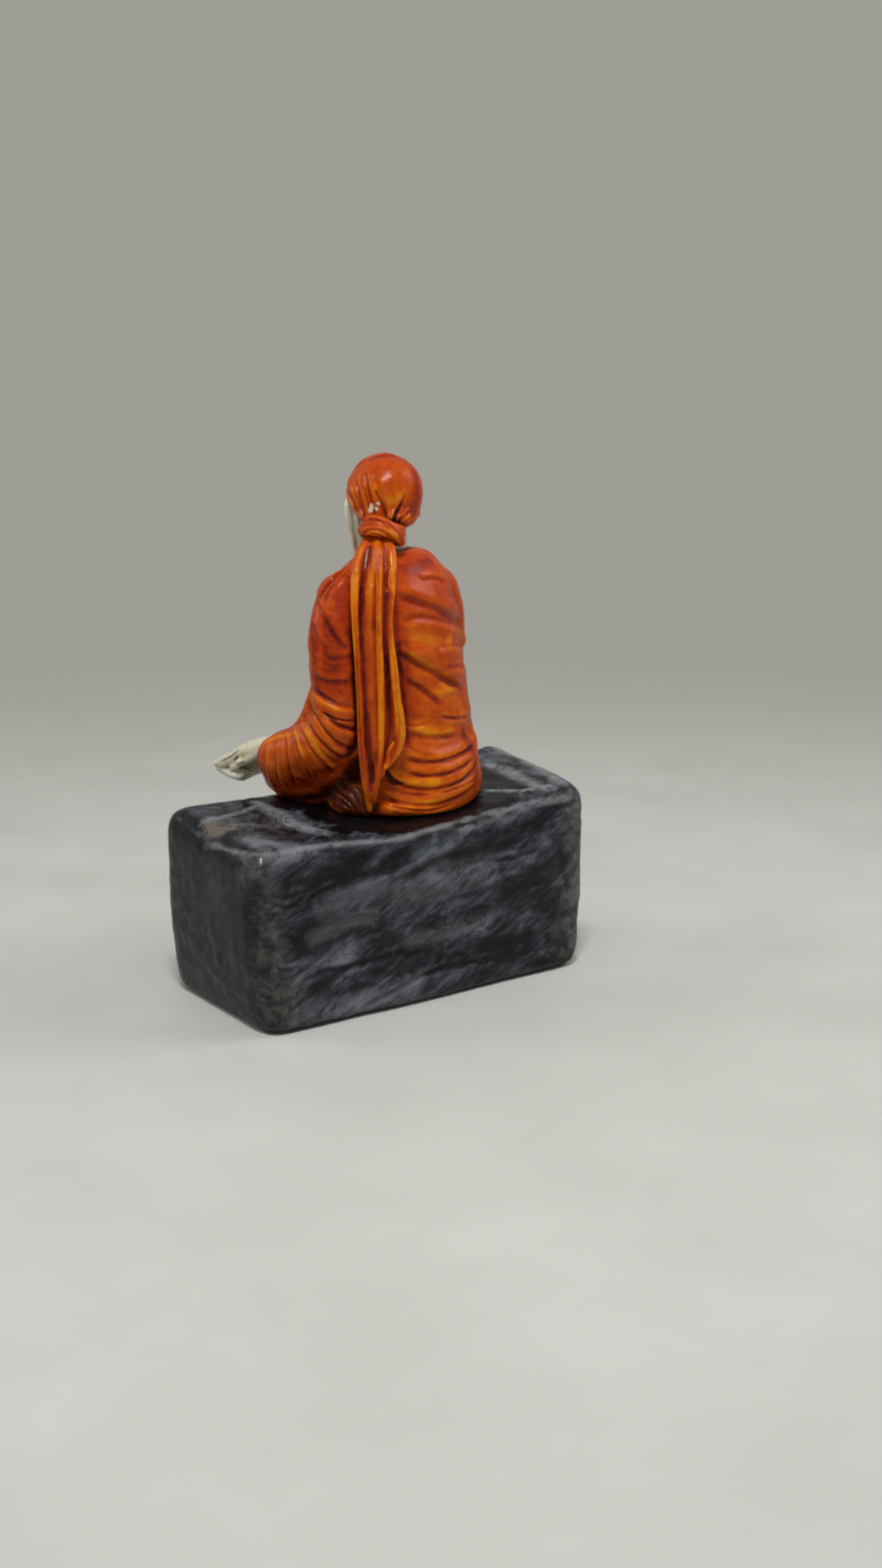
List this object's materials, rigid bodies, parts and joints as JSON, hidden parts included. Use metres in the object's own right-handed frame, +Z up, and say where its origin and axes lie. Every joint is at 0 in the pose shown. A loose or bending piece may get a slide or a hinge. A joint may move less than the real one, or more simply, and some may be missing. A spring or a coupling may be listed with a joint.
{
  "type": "seated saint figurine",
  "caption": "Bearded saint in an orange robe and knotted head cloth, sitting on a rough dark stone block with one leg crossed and a hand resting on the raised foot.",
  "frame": {"origin": "middle of the flat underside of the stone, on the table", "axes": "+Z up; the figure faces -Y; +X runs along the stone towards the figure's left hand"},
  "size_m": [0.1004, 0.0719, 0.1281],
  "materials": {
    "stone_paint": "cast resin painted slate grey and black with dry-brushed light grey, under gloss varnish",
    "robe_paint": "cast resin painted orange with a red-brown wash in the folds, under gloss varnish",
    "cloth_paint": "cast resin painted orange with a red-brown wash in the folds, under gloss varnish",
    "skin_paint": "cast resin painted ivory with a brown wash, satin",
    "beard_paint": "cast resin painted off-white with a grey wash, satin",
    "dowel_steel": "plain drawn steel pin"
  },
  "bodies": {
    "root": {"stone_seat": "stone_paint", "robe_body": "robe_paint", "robe_left_leg": "robe_paint", "robe_right_leg": "robe_paint", "left_sleeve": "robe_paint", "right_sleeve": "robe_paint", "left_hand": "skin_paint", "right_hand": "skin_paint", "right_foot": "skin_paint", "left_foot": "skin_paint", "head": "skin_paint", "beard": "beard_paint", "head_cloth": "cloth_paint", "cloth_knot": "cloth_paint", "cloth_tail": "cloth_paint", "cloth_tail_fold": "cloth_paint", "seat_dowel_left": "dowel_steel", "seat_dowel_right": "dowel_steel", "neck_dowel": "dowel_steel"}
  },
  "joints": []
}
